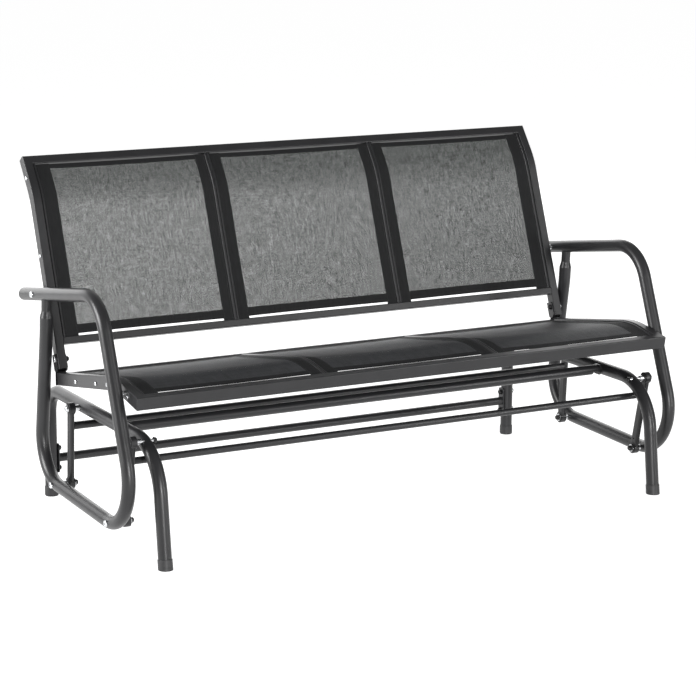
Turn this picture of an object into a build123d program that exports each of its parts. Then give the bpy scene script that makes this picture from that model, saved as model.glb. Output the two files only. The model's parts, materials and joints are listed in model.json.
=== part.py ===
from build123d import *
import math
import os

os.makedirs("parts", exist_ok=True)

# Three-seat glider swing. Millimetres: X along the bench (left is -X), -Y the front, Z up,
# origin on the floor under the middle of the bench.

# ---------------------------------------------------------------- driving dimensions
sides = {"left": -1, "right": 1}

tube_radius = 16.0
tube_wall = 1.5

# base: two leg frames bent from round tube, two crossbars
base_x = 675.0
base_top_z = 277.5
front_foot_y = -357.0
front_corner_y = -321.7
front_bend_radius = 128.0
rear_leg_y = 331.0
rear_bend_radius = 64.0
foot_floor = 6.0
foot_cap_radius = 17.4
foot_cap_height = 24.0
foot_cap_sink = 3.0
foot_cap_round = 7.0
foot_cap_rim_round = 0.8
front_crossbar_y = -124.0
front_crossbar_radius = 12.5
front_flange_width = 30.0
front_flange_height = 26.0
front_flange_corner = 6.0
front_notch_width = 26.0
front_notch_height = 18.0
front_notch_drop = 14.0
front_notch_length = 18.0
rear_crossbar_z = 95.0
rear_crossbar_radius = 11.0
rear_flange_bolt_spacing = 51.0
rear_flange_width = 24.0
rear_flange_corner = 8.0
flange_thickness = 3.0

# the four pivots of the glide linkage, as (Y, Z)
top_front_pivot = (-262.0, base_top_z)
top_rear_pivot = (103.0, base_top_z)
bottom_front_pivot = (-221.0, 84.0)
bottom_rear_pivot = (113.0, 91.0)

# swing links
link_x = 711.0
link_thickness = 14.0
link_width = 25.0
link_wall = 1.5
link_face_inset = 1.0
link_hub_radius = 14.5
link_bar_drop = 0.235
link_drain_radius = 2.0
link_drain_gap = 12.0
link_drain_reach = 6.0
front_link_bar_radius = 8.5
rear_link_bar_radius = 9.5
bush_radius = 7.0
bush_flange_radius = 11.0
bush_flange = 1.5
bush_clearance = 0.05
bush_middle_gap = 0.2
open_pivot_play = 1.6

# arm loops: an arm tube from the armrest to the bottom joint, and a side tube behind it
loop_x = 745.0
arm_rear_end = (300.0, 526.0)
arm_front_point = (-165.0, 602.0)
arm_bend_radius = 105.0
slant_angle = 21.9
loop_front_bend_radius = 120.0
loop_bottom_rise_angle = 1.74
loop_bottom_drop = 0.5
loop_joint_y = -168.0
loop_rear_bend_radius = 105.0
side_tube_foot = (222.0, 93.8)
side_tube_waist = (166.0, 455.0)
side_tube_waist_radius = 160.0
side_tube_top_y = 160.0
swage_radius = 12.0
swage_start_z = 492.0
swage_length = 16.0
neck_length = 45.0
neck_bore_length = 60.0
saddle_length = 160.0
saddle_clearance = 0.05
spigot_arc = 17.0
spigot_tail = 30.0
spigot_clearance = 0.15
arm_cap_length = 9.0
arm_cap_round = 7.5
arm_cap_tail = 16.0
arm_cap_clearance = 0.1
rivet_nut_radius = 6.0

# seat and back frames, square tube with welded mitres
frame_x = 723.5
frame_width = 22.0
rail_depth = 31.0
upright_depth = 26.0
frame_wall = 1.5
frame_corner = 2.5
seat_rear_top = (158.0, 355.0)
seat_crown = (-197.6, 416.6)
seat_front_top = (-323.0, 394.3)
seat_crown_radius = 262.0
seat_rear_rail_y = 147.0
seat_rear_rail_drop = 1.5
back_bottom_front = (140.5, 371.0)
back_knee = (292.0, 772.0)
back_top_front = (355.0, 855.0)
back_knee_radius = 205.0
lower_rail_front_z = 431.5
lower_rail_height = 18.0
lower_rail_depth = 22.0
plug_head = 2.5
plug_tail = 10.0
plug_clearance = 0.2
plug_corner = 0.9

# slings and the tracks that hold them
mid_rail_x = 235.0
mid_rail_width = 24.0
mid_rail_height = 16.0
mid_bead_sink = 0.5
bead_radius = 3.4
bead_bore = 2.3
bead_slot = 1.8
bead_offset = 3.2
bead_depth = 5.0
track_leg = 2.5
track_leg_depth = 18.0
track_leg_drop = 1.0
track_past_sling = 2.0
track_end_gap = 0.1
track_screw_cut = 12.0
rod_radius = 2.0
sling_thickness = 1.6
sling_gap = 0.4
seat_sling_rear_y = 134.0
seat_sling_front_y = -288.0
back_sling_bottom_z = 445.0
back_sling_top_z = 833.5

# fasteners
pivot_bolt_radius = 4.0
frame_bolt_radius = 4.0
track_screw_radius = 2.5
track_screw_end = 1.0
hole_clearance = 0.1
running_clearance = 0.06
axial_play = 0.3
washer_radius = 9.5
washer_thickness = 1.5
spacer_radius = 7.0
nut_height = 8.0
nut_corner_radius = 7.6
nut_hexagon_height = 3.5
nut_dome_radius = 6.2
nut_dome_round = 3.5
rivet_nut_length = 12.0
thread_past_face = 5.5
thread_end_gap = 0.3
track_screw_depth_seat = 18.0
track_screw_depth_back = 10.0
seat_track_screw_y = (40.0, -82.0, -150.0, -270.0)
back_track_screw_z = (500.0, 629.0, 810.0)
seat_arm_bolt = (-249.9, 390.6)
arm_rear_bolt = (214.0, 540.1)
bracket_bolt = (161.0, 386.5)
bracket_plate = 2.5
bracket_rise = 34.0
bracket_foot = 4.0
cheek_start = 1.0
bracket_gap = 0.1
cheek_front = 5.0
cheek_shoulder_rise = 28.0
cheek_shoulder_front = 11.0
cheek_lip = 2.0
cheek_toe = (8.0, 5.0)

# bolt heads as (radius, height), and their shape as shares of that size
pivot_head = (7.5, 4.5)
frame_head = (7.0, 4.0)
seat_arm_head = (6.5, 4.0)
track_screw_head = (5.0, 3.2)
head_round_share = 0.6
socket_radius_share = 0.42
socket_depth_share = 0.55

# ---------------------------------------------------------------- derived positions
tube_bore = tube_radius - tube_wall
base_outer_x = base_x + tube_radius
base_inner_x = base_x - tube_radius
loop_inner_x = loop_x - tube_radius
loop_outer_x = loop_x + tube_radius
link_outer_x = link_x + link_thickness / 2
link_inner_x = link_x - link_thickness / 2
link_bar_x = link_inner_x + link_face_inset
frame_inner_x = frame_x - frame_width
track_x = frame_inner_x - track_leg - bead_radius / 2


def save(piece, name):
    """Labels a finished piece and writes its STEP file."""
    piece.part.label = name
    export_step(piece.part, f"parts/{name}.step")


def unit(start, end):
    """Unit vector from start to end, both (Y, Z)."""
    length = math.hypot(end[0] - start[0], end[1] - start[1])
    return ((end[0] - start[0]) / length, (end[1] - start[1]) / length)


def along(point, direction, distance):
    """The point a distance away from a (Y, Z) point, along a (Y, Z) direction."""
    return (point[0] + direction[0] * distance, point[1] + direction[1] * distance)


def crossing(point_a, direction_a, point_b, direction_b):
    """Where two straight lines in the YZ plane cross."""
    det = direction_a[0] * direction_b[1] - direction_a[1] * direction_b[0]
    gap = (point_b[0] - point_a[0], point_b[1] - point_a[1])
    reach = (gap[0] * direction_b[1] - gap[1] * direction_b[0]) / det
    return along(point_a, direction_a, reach)


def inset_run(points, depth):
    """A three-point run moved by depth to its inner side, the side its middle corner bends towards."""
    first = unit(points[0], points[1])
    last = unit(points[1], points[2])
    turn = math.copysign(1, first[0] * last[1] - first[1] * last[0])
    normal_a = (-first[1] * turn, first[0] * turn)
    normal_b = (-last[1] * turn, last[0] * turn)
    share = depth / (1 + normal_a[0] * normal_b[0] + normal_a[1] * normal_b[1])
    corner = (
        points[1][0] + (normal_a[0] + normal_b[0]) * share,
        points[1][1] + (normal_a[1] + normal_b[1]) * share,
    )
    return [along(points[0], normal_a, depth), corner, along(points[2], normal_b, depth)]


def seat_top(y):
    """The seat's top surface at Y, as (Y, Z) on its two straight lines."""
    start, end = (seat_rear_top, seat_crown) if y > seat_crown[0] else (seat_crown, seat_front_top)
    return (y, start[1] + (end[1] - start[1]) * (y - start[0]) / (end[0] - start[0]))


def back_face(z):
    """The back's front surface at Z, as (Y, Z) on its two straight lines."""
    start, end = (back_bottom_front, back_knee) if z < back_knee[1] else (back_knee, back_top_front)
    return (start[0] + (end[0] - start[0]) * (z - start[1]) / (end[1] - start[1]), z)


def under_seat(y, depth):
    """A point a depth below the seat's top surface."""
    start, end = (seat_rear_top, seat_crown) if y > seat_crown[0] else (seat_crown, seat_front_top)
    direction = unit(start, end)
    return along(seat_top(y), (-direction[1], direction[0]), depth)


def behind_back(z, depth):
    """A point a depth behind the back's front surface."""
    start, end = (back_bottom_front, back_knee) if z < back_knee[1] else (back_knee, back_top_front)
    direction = unit(start, end)
    return along(back_face(z), (direction[1], -direction[0]), depth)


def across(side, x, point, outward=True):
    """A plane at X on one side, facing away from the bench's middle, or towards it."""
    facing = side if outward else -side
    return Plane(origin=(side * x, point[0], point[1]), x_dir=(0, facing, 0), z_dir=(facing, 0, 0))


def profile_plane(line, facing=1):
    """The plane square to a run at its start. On a run towards the front its y points up (facing 1),
    and on a run up the back it points to the front (facing -1)."""
    return Plane(origin=line @ 0, x_dir=(facing, 0, 0), z_dir=line % 0)


def mitre_plane(side, corner, direction):
    """The 45 degree plane of a welded corner: the cross rail lies behind it, the side rail in front."""
    return Plane(
        origin=(side * frame_x, corner[0], corner[1]),
        z_dir=(side, -direction[0], -direction[1]),
    )


def make_bolt(radius, shank, head):
    """A button-head bolt with a hexagon socket: head above the XY plane, shank below it."""
    head_radius, head_height = head
    with BuildPart() as bolt:
        Cylinder(head_radius, head_height, align=(Align.CENTER, Align.CENTER, Align.MIN))
        fillet(bolt.edges().group_by(Axis.Z)[-1], head_height * head_round_share)
        with BuildSketch(Plane.XY.offset(head_height)):
            RegularPolygon(radius=head_radius * socket_radius_share, side_count=6)
        extrude(amount=-head_height * socket_depth_share, mode=Mode.SUBTRACT)
        Cylinder(radius, shank, align=(Align.CENTER, Align.CENTER, Align.MAX))
    return bolt.part


def make_nut(radius):
    """A capped nut: a hexagon base under a round dome, bored blind from the XY plane."""
    with BuildPart() as nut:
        with BuildSketch():
            RegularPolygon(radius=nut_corner_radius, side_count=6)
        extrude(amount=nut_hexagon_height)
        with BuildSketch(Plane.XY.offset(nut_hexagon_height)):
            Circle(nut_dome_radius)
        extrude(amount=nut_height - nut_hexagon_height)
        fillet(nut.edges().group_by(Axis.Z)[-1], nut_dome_round)
        Cylinder(
            radius + hole_clearance,
            thread_past_face + thread_end_gap,
            align=(Align.CENTER, Align.CENTER, Align.MIN),
            mode=Mode.SUBTRACT,
        )
    return nut.part


def make_ring(outer, inner, height):
    """A washer, spacer or bush barrel standing on the XY plane."""
    with BuildPart() as ring:
        Cylinder(outer, height, align=(Align.CENTER, Align.CENTER, Align.MIN))
        Cylinder(inner, height, align=(Align.CENTER, Align.CENTER, Align.MIN), mode=Mode.SUBTRACT)
    return ring.part


def make_half_bush(bore):
    """Half of a flanged link bush: flange above the XY plane, barrel to just short of the middle."""
    with BuildPart() as bush:
        Cylinder(bush_flange_radius, bush_flange, align=(Align.CENTER, Align.CENTER, Align.MIN))
        Cylinder(
            bush_radius,
            link_thickness / 2 - bush_middle_gap,
            align=(Align.CENTER, Align.CENTER, Align.MAX),
        )
        Cylinder(bore, link_thickness * 2, mode=Mode.SUBTRACT)
    return bush.part


def box_section(width, depth):
    """The hollow section of a square tube, centred."""
    with BuildSketch() as section:
        RectangleRounded(width, depth, frame_corner)
        RectangleRounded(
            width - 2 * frame_wall,
            depth - 2 * frame_wall,
            frame_corner - frame_wall,
            mode=Mode.SUBTRACT,
        )
    return section.sketch


def side_track_section(side):
    """A round bead with a rod bore and a slot towards the bench's middle, on a flat screwed leg."""
    with BuildSketch() as section:
        Circle(bead_radius)
        with Locations((side * (bead_radius + track_leg) / 2, -track_leg_depth / 2 - track_leg_drop)):
            Rectangle(track_leg, track_leg_depth)
        Circle(bead_bore, mode=Mode.SUBTRACT)
        with Locations((-side * bead_radius, 0)):
            Rectangle(bead_radius * 2, bead_slot, mode=Mode.SUBTRACT)
    return section.sketch


def mid_track_section():
    """Two merged beads side by side on a hollow rail, each bead slotted outwards."""
    with BuildSketch() as section:
        with Locations((-bead_offset, 0), (bead_offset, 0)):
            Circle(bead_radius)
        with Locations((0, -bead_radius / 2)):
            Rectangle(2 * bead_offset, bead_radius)
        with Locations((0, mid_bead_sink - bead_radius - mid_rail_height / 2)):
            Rectangle(mid_rail_width, mid_rail_height)
            Rectangle(
                mid_rail_width - 2 * frame_wall,
                mid_rail_height - 2 * frame_wall,
                mode=Mode.SUBTRACT,
            )
        with Locations((-bead_offset, 0), (bead_offset, 0)):
            Circle(bead_bore, mode=Mode.SUBTRACT)
        with Locations((-bead_offset - bead_radius, 0), (bead_offset + bead_radius, 0)):
            Rectangle(bead_radius * 2, bead_slot, mode=Mode.SUBTRACT)
    return section.sketch


# ---------------------------------------------------------------- runs shared by several pieces
front_leg = unit((front_foot_y, 0), (front_corner_y, base_top_z))
front_foot = (front_foot_y, 0.0)
rear_foot = (rear_leg_y, 0.0)
base_run = [
    along(front_foot, front_leg, foot_floor),
    (front_corner_y, base_top_z),
    (rear_leg_y, base_top_z),
    (rear_leg_y, foot_floor),
]

arm_forward = unit(arm_rear_end, arm_front_point)
slant_down = (-math.sin(math.radians(slant_angle)), -math.cos(math.radians(slant_angle)))
bottom_rearward = (
    math.cos(math.radians(loop_bottom_rise_angle)),
    math.sin(math.radians(loop_bottom_rise_angle)),
)
bottom_forward = (-bottom_rearward[0], -bottom_rearward[1])
bottom_point = (bottom_rear_pivot[0], bottom_rear_pivot[1] - loop_bottom_drop)
loop_front_corner = crossing(arm_front_point, slant_down, bottom_point, bottom_rearward)
front_bend_turn = 90 + slant_angle + loop_bottom_rise_angle
front_bend_reach = loop_front_bend_radius * math.tan(math.radians(front_bend_turn / 2))
front_bend_end = along(loop_front_corner, bottom_rearward, front_bend_reach)
loop_joint = crossing(bottom_point, bottom_rearward, (loop_joint_y, 0), (0, 1))
side_tube_up = unit(side_tube_foot, side_tube_waist)
loop_rear_corner = crossing(bottom_point, bottom_rearward, side_tube_waist, side_tube_up)
side_tube_top = crossing(arm_rear_end, arm_forward, (side_tube_top_y, 0), (0, 1))
neck_up = unit(side_tube_waist, side_tube_top)
neck_start = crossing(side_tube_waist, neck_up, (0, swage_start_z), (1, 0))

seat_run = [seat_rear_top, seat_crown, seat_front_top]
back_run = [back_bottom_front, back_knee, back_top_front]
seat_forward = unit(seat_crown, seat_front_top)
back_upward = unit(back_knee, back_top_front)
seat_down = (-seat_forward[1], seat_forward[0])
back_rearward = (back_upward[1], -back_upward[0])
lower_back_upward = unit(back_bottom_front, back_knee)
lower_back_rearward = (lower_back_upward[1], -lower_back_upward[0])
front_rail_rear = along(seat_front_top, seat_forward, -frame_width)
top_rail_underside = along(back_top_front, back_upward, -frame_width)
lower_rail_top_z = lower_rail_front_z + lower_rail_height / 2 * lower_back_upward[1]

# ================================================================ base
frame_bolt_positions = (
    top_front_pivot,
    top_rear_pivot,
    (front_crossbar_y, base_top_z),
    (rear_leg_y, rear_crossbar_z - rear_flange_bolt_spacing / 2),
    (rear_leg_y, rear_crossbar_z + rear_flange_bolt_spacing / 2),
)
crossbar_bolt_positions = frame_bolt_positions[2:]

for hand, side in sides.items():
    with BuildPart() as base_leg_frame:
        with BuildLine(Plane.YZ.offset(side * base_x)) as run:
            FilletPolyline(*base_run, radius=[front_bend_radius, rear_bend_radius])
        with BuildSketch(profile_plane(run.line)):
            Circle(tube_radius)
            Circle(tube_bore, mode=Mode.SUBTRACT)
        sweep()
        with Locations(*[(side * base_x, y, z) for y, z in frame_bolt_positions]):
            Cylinder(
                pivot_bolt_radius + hole_clearance,
                tube_radius * 3,
                rotation=(0, 90, 0),
                mode=Mode.SUBTRACT,
            )
    save(base_leg_frame, f"base_leg_frame_{hand}")

with BuildPart() as foot_caps:
    for side in sides.values():
        for foot, leg in ((front_foot, front_leg), (rear_foot, (0.0, 1.0))):
            leg_plane = Plane(origin=(side * base_x, *foot), x_dir=(1, 0, 0), z_dir=(0, *leg))
            with BuildSketch(leg_plane.offset(-foot_cap_sink)):
                Circle(foot_cap_radius)
            extrude(amount=foot_cap_height + foot_cap_sink)
    fillet(foot_caps.edges().group_by(Axis.Z)[0], foot_cap_round)
    rims = foot_caps.edges().filter_by(GeomType.CIRCLE).sort_by(Axis.Z)[-4:]
    fillet(rims, foot_cap_rim_round)
    for side in sides.values():
        for foot, leg in ((front_foot, front_leg), (rear_foot, (0.0, 1.0))):
            leg_plane = Plane(origin=(side * base_x, *foot), x_dir=(1, 0, 0), z_dir=(0, *leg))
            with BuildSketch(leg_plane.offset(foot_floor)):
                Circle(tube_radius + hole_clearance)
            extrude(amount=foot_cap_height, mode=Mode.SUBTRACT)
    split(bisect_by=Plane.XY, keep=Keep.TOP)
save(foot_caps, "foot_caps")

with BuildPart() as base_front_crossbar:
    with BuildSketch(Plane.YZ.offset(-base_inner_x + flange_thickness)):
        with Locations((front_crossbar_y, base_top_z)):
            Circle(front_crossbar_radius)
            Circle(front_crossbar_radius - tube_wall, mode=Mode.SUBTRACT)
    extrude(amount=2 * (base_inner_x - flange_thickness))
    for side in sides.values():
        with BuildSketch(across(side, base_inner_x, (front_crossbar_y, base_top_z), outward=False)):
            RectangleRounded(front_flange_width, front_flange_height, front_flange_corner)
            Circle(pivot_bolt_radius + hole_clearance, mode=Mode.SUBTRACT)
        extrude(amount=flange_thickness)
        with BuildSketch(
            across(side, base_inner_x - flange_thickness, (front_crossbar_y, base_top_z), outward=False)
        ):
            with Locations((0, -front_notch_drop)):
                Rectangle(front_notch_width, front_notch_height)
        extrude(amount=front_notch_length, mode=Mode.SUBTRACT)
save(base_front_crossbar, "base_front_crossbar")

with BuildPart() as base_rear_crossbar:
    with BuildSketch(Plane.YZ.offset(-base_inner_x + flange_thickness)):
        with Locations((rear_leg_y, rear_crossbar_z)):
            Circle(rear_crossbar_radius)
            Circle(rear_crossbar_radius - tube_wall, mode=Mode.SUBTRACT)
    extrude(amount=2 * (base_inner_x - flange_thickness))
    for side in sides.values():
        with BuildSketch(across(side, base_inner_x, (rear_leg_y, rear_crossbar_z), outward=False)):
            RectangleRounded(
                rear_flange_width, rear_flange_bolt_spacing + rear_flange_width, rear_flange_corner
            )
            with Locations((0, -rear_flange_bolt_spacing / 2), (0, rear_flange_bolt_spacing / 2)):
                Circle(frame_bolt_radius + hole_clearance, mode=Mode.SUBTRACT)
        extrude(amount=flange_thickness)
save(base_rear_crossbar, "base_rear_crossbar")

crossbar_bolt = make_bolt(
    frame_bolt_radius, 2 * tube_radius + flange_thickness + thread_past_face, frame_head
)
cap_nut = make_nut(pivot_bolt_radius)
with BuildPart() as crossbar_bolts:
    for side in sides.values():
        with Locations(*[across(side, base_outer_x, point) for point in crossbar_bolt_positions]):
            add(crossbar_bolt)
save(crossbar_bolts, "crossbar_bolts")

# ---------------------------------------------------------------- top pivots, on the base
top_washer_x = link_outer_x + bush_flange + axial_play
top_head_x = top_washer_x + washer_thickness
top_pivots = (top_front_pivot, top_rear_pivot)
top_pivot_bolt = make_bolt(
    pivot_bolt_radius, top_head_x - base_inner_x + thread_past_face, pivot_head
)
pivot_washer = make_ring(washer_radius, pivot_bolt_radius + hole_clearance, washer_thickness)
top_spacer = make_ring(
    spacer_radius,
    pivot_bolt_radius + hole_clearance,
    link_inner_x - bush_flange - axial_play - base_outer_x,
)
with BuildPart() as top_pivot_bolts:
    for side in sides.values():
        with Locations(*[across(side, top_head_x, point) for point in top_pivots]):
            add(top_pivot_bolt)
save(top_pivot_bolts, "top_pivot_bolts")

with BuildPart() as top_pivot_washers:
    for side in sides.values():
        with Locations(*[across(side, top_washer_x, point) for point in top_pivots]):
            add(pivot_washer)
save(top_pivot_washers, "top_pivot_washers")

with BuildPart() as top_pivot_spacers:
    for side in sides.values():
        with Locations(*[across(side, base_outer_x, point) for point in top_pivots]):
            add(top_spacer)
save(top_pivot_spacers, "top_pivot_spacers")

with BuildPart() as base_cap_nuts:
    for side in sides.values():
        flange_x = base_inner_x - flange_thickness
        with Locations(
            *[across(side, base_inner_x, point, outward=False) for point in top_pivots],
            *[across(side, flange_x, point, outward=False) for point in crossbar_bolt_positions],
        ):
            add(cap_nut)
save(base_cap_nuts, "base_cap_nuts")

# ================================================================ swing links
link_pairs = {
    "front": (top_front_pivot, bottom_front_pivot, front_link_bar_radius, 0.0),
    "rear": (top_rear_pivot, bottom_rear_pivot, rear_link_bar_radius, open_pivot_play),
}
for end, (top, bottom, bar_radius, play) in link_pairs.items():
    link_down = unit(top, bottom)
    link_length = math.hypot(bottom[0] - top[0], bottom[1] - top[1])
    bar_centre = along(top, link_down, link_bar_drop * link_length)
    drain = along(top, link_down, link_length - link_hub_radius - link_drain_gap)

    for hand, side in sides.items():
        with BuildPart() as swing_link:
            along_link = Plane(
                origin=(side * link_x, *top), x_dir=(1, 0, 0), z_dir=(0, *link_down)
            )
            with BuildSketch(along_link):
                SlotOverall(link_width, link_thickness - 2 * link_face_inset, rotation=90)
                offset(amount=-link_wall, mode=Mode.SUBTRACT)
            extrude(amount=link_length)
            with Locations((side * link_x, *top), (side * link_x, *bottom)):
                Cylinder(link_hub_radius, link_thickness, rotation=(0, 90, 0))
                Cylinder(
                    bush_radius + bush_clearance,
                    link_thickness * 2,
                    rotation=(0, 90, 0),
                    mode=Mode.SUBTRACT,
                )
            with Locations((side * link_bar_x, *drain)):
                Cylinder(
                    link_drain_radius, link_drain_reach, rotation=(0, 90, 0), mode=Mode.SUBTRACT
                )
        save(swing_link, f"{end}_link_{hand}")

    with BuildPart() as link_bar:
        with BuildSketch(Plane.YZ.offset(-link_bar_x)):
            with Locations(bar_centre):
                Circle(bar_radius)
                Circle(bar_radius - tube_wall, mode=Mode.SUBTRACT)
        extrude(amount=2 * link_bar_x)
    save(link_bar, f"{end}_link_bar")

    top_bush = make_half_bush(pivot_bolt_radius + running_clearance)
    bottom_bush = make_half_bush(pivot_bolt_radius + running_clearance + play)
    with BuildPart() as link_bushes:
        for side in sides.values():
            for point, bush in ((top, top_bush), (bottom, bottom_bush)):
                with Locations(
                    across(side, link_outer_x, point),
                    across(side, link_inner_x, point, outward=False),
                ):
                    add(bush)
    save(link_bushes, f"{end}_link_bushes")

# ================================================================ arm loops
for hand, side in sides.items():
    loop_plane = Plane.YZ.offset(side * loop_x)

    with BuildPart() as arm_tube:
        with BuildLine(loop_plane) as run:
            FilletPolyline(
                arm_rear_end,
                arm_front_point,
                loop_front_corner,
                loop_joint,
                radius=[arm_bend_radius, loop_front_bend_radius],
            )
        with BuildSketch(profile_plane(run.line)):
            Circle(tube_radius)
            Circle(tube_bore, mode=Mode.SUBTRACT)
        sweep()
        with Locations(
            (side * loop_x, *arm_rear_bolt),
            (side * loop_x, *bottom_front_pivot),
        ):
            Cylinder(
                pivot_bolt_radius + hole_clearance,
                tube_radius * 3,
                rotation=(0, 90, 0),
                mode=Mode.SUBTRACT,
            )
        with Locations((side * loop_inner_x, *seat_arm_bolt)):
            Cylinder(
                rivet_nut_radius + hole_clearance,
                tube_radius,
                rotation=(0, 90, 0),
                mode=Mode.SUBTRACT,
            )
    save(arm_tube, f"arm_tube_{hand}")

    with BuildPart() as side_tube:
        with BuildLine(loop_plane) as run:
            FilletPolyline(
                loop_joint,
                loop_rear_corner,
                side_tube_waist,
                neck_start,
                radius=[loop_rear_bend_radius, side_tube_waist_radius],
            )
        with BuildSketch(profile_plane(run.line)):
            Circle(tube_radius)
            Circle(tube_bore, mode=Mode.SUBTRACT)
        sweep()
        neck_plane = Plane(
            origin=(side * loop_x, *neck_start), x_dir=(1, 0, 0), z_dir=(0, *neck_up)
        )
        with Locations(neck_plane):
            Cone(
                tube_radius,
                swage_radius,
                swage_length,
                align=(Align.CENTER, Align.CENTER, Align.MIN),
            )
        with Locations(neck_plane.offset(swage_length)):
            Cylinder(swage_radius, neck_length, align=(Align.CENTER, Align.CENTER, Align.MIN))
        with Locations(neck_plane):
            Cone(
                tube_bore,
                swage_radius - tube_wall,
                swage_length,
                align=(Align.CENTER, Align.CENTER, Align.MIN),
                mode=Mode.SUBTRACT,
            )
        with Locations(neck_plane.offset(swage_length)):
            Cylinder(
                swage_radius - tube_wall,
                neck_bore_length,
                align=(Align.CENTER, Align.CENTER, Align.MIN),
                mode=Mode.SUBTRACT,
            )
        with Locations(
            Plane(origin=(side * loop_x, *side_tube_top), x_dir=(1, 0, 0), z_dir=(0, *arm_forward))
        ):
            Cylinder(tube_radius + saddle_clearance, saddle_length, mode=Mode.SUBTRACT)
        with Locations((side * loop_x, *bottom_rear_pivot)):
            Cylinder(
                pivot_bolt_radius + hole_clearance,
                tube_radius * 3,
                rotation=(0, 90, 0),
                mode=Mode.SUBTRACT,
            )
    save(side_tube, f"side_tube_{hand}")

with BuildPart() as loop_spigots:
    for side in sides.values():
        with BuildLine(Plane.YZ.offset(side * loop_x)) as run:
            Line(along(loop_joint, bottom_rearward, spigot_tail), front_bend_end)
            JernArc(
                start=front_bend_end,
                tangent=bottom_forward,
                radius=loop_front_bend_radius,
                arc_size=-spigot_arc,
            )
        with BuildSketch(profile_plane(run.line)):
            Circle(tube_bore - spigot_clearance)
            Circle(tube_bore - spigot_clearance - tube_wall, mode=Mode.SUBTRACT)
        sweep()
        with Locations((side * loop_x, *bottom_front_pivot)):
            Cylinder(
                pivot_bolt_radius + hole_clearance,
                tube_radius * 3,
                rotation=(0, 90, 0),
                mode=Mode.SUBTRACT,
            )
save(loop_spigots, "loop_spigots")

with BuildPart() as arm_end_caps:
    for side in sides.values():
        arm_end = Plane(
            origin=(side * loop_x, *arm_rear_end),
            x_dir=(1, 0, 0),
            z_dir=(0, -arm_forward[0], -arm_forward[1]),
        )
        with BuildSketch(arm_end):
            Circle(tube_radius)
        extrude(amount=arm_cap_length)
    fillet(arm_end_caps.edges().group_by(Axis.Y)[-1], arm_cap_round)
    for side in sides.values():
        arm_end = Plane(
            origin=(side * loop_x, *arm_rear_end),
            x_dir=(1, 0, 0),
            z_dir=(0, -arm_forward[0], -arm_forward[1]),
        )
        with BuildSketch(arm_end):
            Circle(tube_bore - arm_cap_clearance)
        extrude(amount=-arm_cap_tail)
save(arm_end_caps, "arm_end_caps")

# ---------------------------------------------------------------- bottom pivots, on the arm loops
bottom_nut_x = link_inner_x - bush_flange - axial_play - washer_thickness
bottom_pivots = (bottom_front_pivot, bottom_rear_pivot)
bottom_pivot_bolt = make_bolt(
    pivot_bolt_radius, loop_outer_x - bottom_nut_x + thread_past_face, pivot_head
)
bottom_spacer = make_ring(
    spacer_radius,
    pivot_bolt_radius + hole_clearance,
    loop_inner_x - link_outer_x - bush_flange - axial_play,
)
with BuildPart() as bottom_pivot_bolts:
    for side in sides.values():
        with Locations(*[across(side, loop_outer_x, point) for point in bottom_pivots]):
            add(bottom_pivot_bolt)
save(bottom_pivot_bolts, "bottom_pivot_bolts")

with BuildPart() as bottom_pivot_spacers:
    for side in sides.values():
        with Locations(*[across(side, loop_inner_x, point, outward=False) for point in bottom_pivots]):
            add(bottom_spacer)
save(bottom_pivot_spacers, "bottom_pivot_spacers")

with BuildPart() as bottom_pivot_washers:
    for side in sides.values():
        with Locations(*[across(side, bottom_nut_x, point) for point in bottom_pivots]):
            add(pivot_washer)
save(bottom_pivot_washers, "bottom_pivot_washers")

with BuildPart() as bottom_pivot_nuts:
    for side in sides.values():
        with Locations(*[across(side, bottom_nut_x, point, outward=False) for point in bottom_pivots]):
            add(cap_nut)
save(bottom_pivot_nuts, "bottom_pivot_nuts")

# ================================================================ seat frame
rail_section = box_section(frame_width, rail_depth)
seat_screws = [under_seat(y, track_screw_depth_seat) for y in seat_track_screw_y]
for hand, side in sides.items():
    rail_x = side * (frame_x - frame_width / 2)
    with BuildPart() as seat_side_rail:
        with BuildLine(Plane.YZ.offset(rail_x)) as run:
            FilletPolyline(*inset_run(seat_run, rail_depth / 2), radius=seat_crown_radius - rail_depth / 2)
        with BuildSketch(profile_plane(run.line)):
            add(rail_section)
        sweep()
        split(bisect_by=mitre_plane(side, seat_front_top, seat_forward), keep=Keep.TOP)
        with Locations(*[(rail_x, *point) for point in seat_screws]):
            Cylinder(
                track_screw_radius + hole_clearance,
                frame_width * 2,
                rotation=(0, 90, 0),
                mode=Mode.SUBTRACT,
            )
        with Locations((rail_x, *seat_arm_bolt)):
            Cylinder(
                frame_bolt_radius + hole_clearance,
                frame_width * 2,
                rotation=(0, 90, 0),
                mode=Mode.SUBTRACT,
            )
    save(seat_side_rail, f"seat_side_rail_{hand}")

with BuildPart() as seat_front_rail:
    centre = along(along(seat_front_top, seat_forward, -frame_width / 2), seat_down, rail_depth / 2)
    with BuildSketch(
        Plane(origin=(-frame_x, *centre), x_dir=(0, *seat_forward), z_dir=(1, 0, 0))
    ):
        add(rail_section)
    extrude(amount=2 * frame_x)
    for side in sides.values():
        split(bisect_by=mitre_plane(side, seat_front_top, seat_forward), keep=Keep.BOTTOM)
save(seat_front_rail, "seat_front_rail")

with BuildPart() as seat_rear_rail:
    centre = under_seat(seat_rear_rail_y, seat_rear_rail_drop + frame_width / 2)
    rail_forward = unit(seat_rear_top, seat_crown)
    with BuildSketch(
        Plane(origin=(-frame_inner_x, *centre), x_dir=(0, *rail_forward), z_dir=(1, 0, 0))
    ):
        add(box_section(frame_width, frame_width))
    extrude(amount=2 * frame_inner_x)
save(seat_rear_rail, "seat_rear_rail")

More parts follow.
